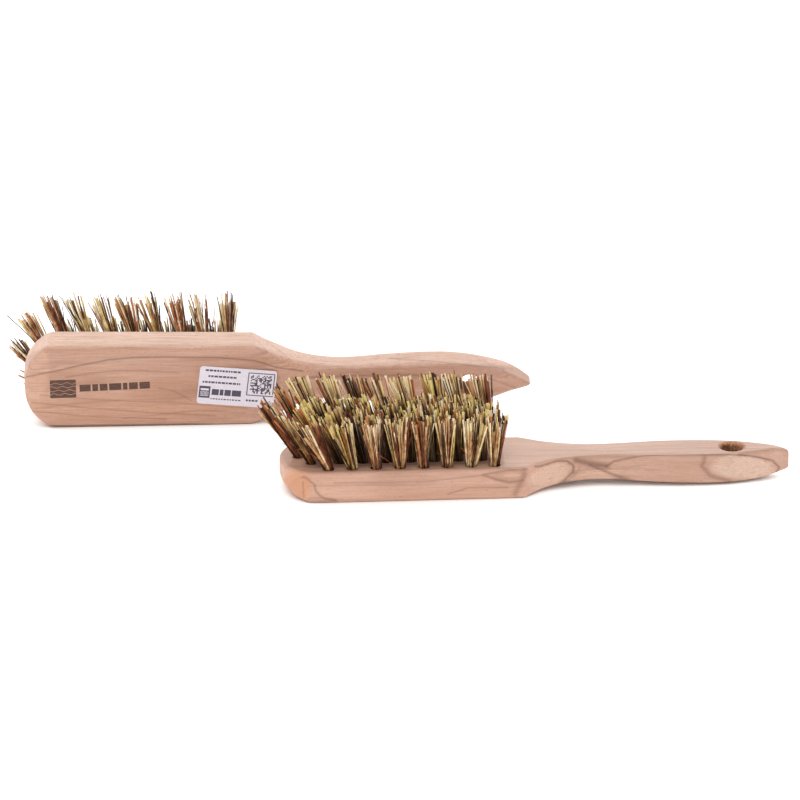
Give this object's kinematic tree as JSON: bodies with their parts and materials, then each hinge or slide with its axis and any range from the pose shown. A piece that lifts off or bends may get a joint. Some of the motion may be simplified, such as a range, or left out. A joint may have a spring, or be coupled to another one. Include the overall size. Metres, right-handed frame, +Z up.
{
  "type": "hand scrubbing brush pair",
  "caption": "Pair of one-piece beech hand scrubbing brushes with rounded heads, pointed handles, hanging holes and stiff, splayed natural fibre tufts.",
  "frame": {"origin": "on the ground under the middle of the pair's bounding box", "axes": "+X from the rounded heads towards the handle tips, +Y from the front brush towards the rear brush, +Z up"},
  "size_m": [0.462, 0.2032, 0.07],
  "materials": {
    "beech": "matte",
    "plant_fibre": "matte",
    "label_paper": "satin"
  },
  "bodies": {
    "front_brush": {"front_brush_wood": "beech", "front_tuft_end_1": "plant_fibre", "front_tuft_end_2": "plant_fibre", "front_tuft_end_3": "plant_fibre", "front_tuft_far_1": "plant_fibre", "front_tuft_far_2": "plant_fibre", "front_tuft_far_3": "plant_fibre", "front_tuft_far_4": "plant_fibre", "front_tuft_far_5": "plant_fibre", "front_tuft_far_6": "plant_fibre", "front_tuft_far_7": "plant_fibre", "front_tuft_far_8": "plant_fibre", "front_tuft_near_1": "plant_fibre", "front_tuft_near_2": "plant_fibre", "front_tuft_near_3": "plant_fibre", "front_tuft_near_4": "plant_fibre", "front_tuft_near_5": "plant_fibre", "front_tuft_near_6": "plant_fibre", "front_tuft_near_7": "plant_fibre", "front_tuft_near_8": "plant_fibre", "front_tuft_neck_1": "plant_fibre", "front_tuft_neck_2": "plant_fibre", "front_tuft_neck_3": "plant_fibre", "front_tufts_inner_far": "plant_fibre", "front_tufts_inner_middle": "plant_fibre", "front_tufts_inner_near": "plant_fibre"},
    "rear_brush": {"rear_brush_label": "label_paper", "rear_brush_wood": "beech", "rear_tuft_end_1": "plant_fibre", "rear_tuft_end_2": "plant_fibre", "rear_tuft_end_3": "plant_fibre", "rear_tuft_lower_1": "plant_fibre", "rear_tuft_lower_2": "plant_fibre", "rear_tuft_lower_3": "plant_fibre", "rear_tuft_lower_4": "plant_fibre", "rear_tuft_lower_5": "plant_fibre", "rear_tuft_lower_6": "plant_fibre", "rear_tuft_lower_7": "plant_fibre", "rear_tuft_lower_8": "plant_fibre", "rear_tuft_neck_1": "plant_fibre", "rear_tuft_neck_2": "plant_fibre", "rear_tuft_neck_3": "plant_fibre", "rear_tuft_upper_1": "plant_fibre", "rear_tuft_upper_2": "plant_fibre", "rear_tuft_upper_3": "plant_fibre", "rear_tuft_upper_4": "plant_fibre", "rear_tuft_upper_5": "plant_fibre", "rear_tuft_upper_6": "plant_fibre", "rear_tuft_upper_7": "plant_fibre", "rear_tuft_upper_8": "plant_fibre", "rear_tufts_inner_lower": "plant_fibre", "rear_tufts_inner_middle": "plant_fibre", "rear_tufts_inner_upper": "plant_fibre"}
  },
  "joints": [
    {"name": "rear_brush_lift", "type": "slide", "parent": "front_brush", "child": "rear_brush", "axis": [0, 0, 1], "range_m": [0, 0.15]}
  ]
}
